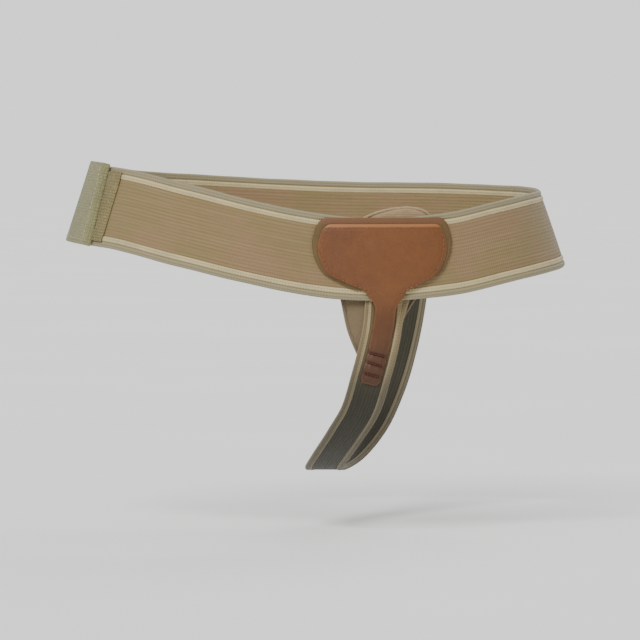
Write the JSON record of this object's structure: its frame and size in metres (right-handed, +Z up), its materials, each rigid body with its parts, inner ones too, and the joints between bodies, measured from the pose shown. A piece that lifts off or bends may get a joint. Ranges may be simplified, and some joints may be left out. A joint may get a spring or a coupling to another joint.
{
  "type": "hernia belt",
  "caption": "Single-sided hernia belt in its worn form: elastic hip band with hook and loop closure, leather plate, groin pad and leg strap.",
  "frame": {"origin": "middle of the hip loop, at half of its width, depth and height, where it sits on the wearer", "axes": "+X to the wearer's left, -Y to the wearer's front, +Z up"},
  "size_m": [0.3114, 0.2201, 0.1938],
  "materials": {
    "tan_elastic": "matt",
    "cream_edge": "matt",
    "khaki_hook": "matt",
    "pale_tab": "matt",
    "dark_leather": "satin",
    "brown_leather": "satin",
    "pad_cloth": "matt",
    "olive_elastic": "matt"
  },
  "bodies": {
    "root": {"waist_band": "tan_elastic", "upper_edge": "cream_edge", "lower_edge": "cream_edge", "hook_patch": "khaki_hook", "closure_tab": "pale_tab", "leather_plate": "dark_leather", "leather_facing": "brown_leather", "groin_pad": "pad_cloth", "leg_strap": "olive_elastic", "strap_right_edge": "cream_edge", "strap_left_edge": "cream_edge", "rear_tab": "pale_tab"}
  },
  "joints": []
}
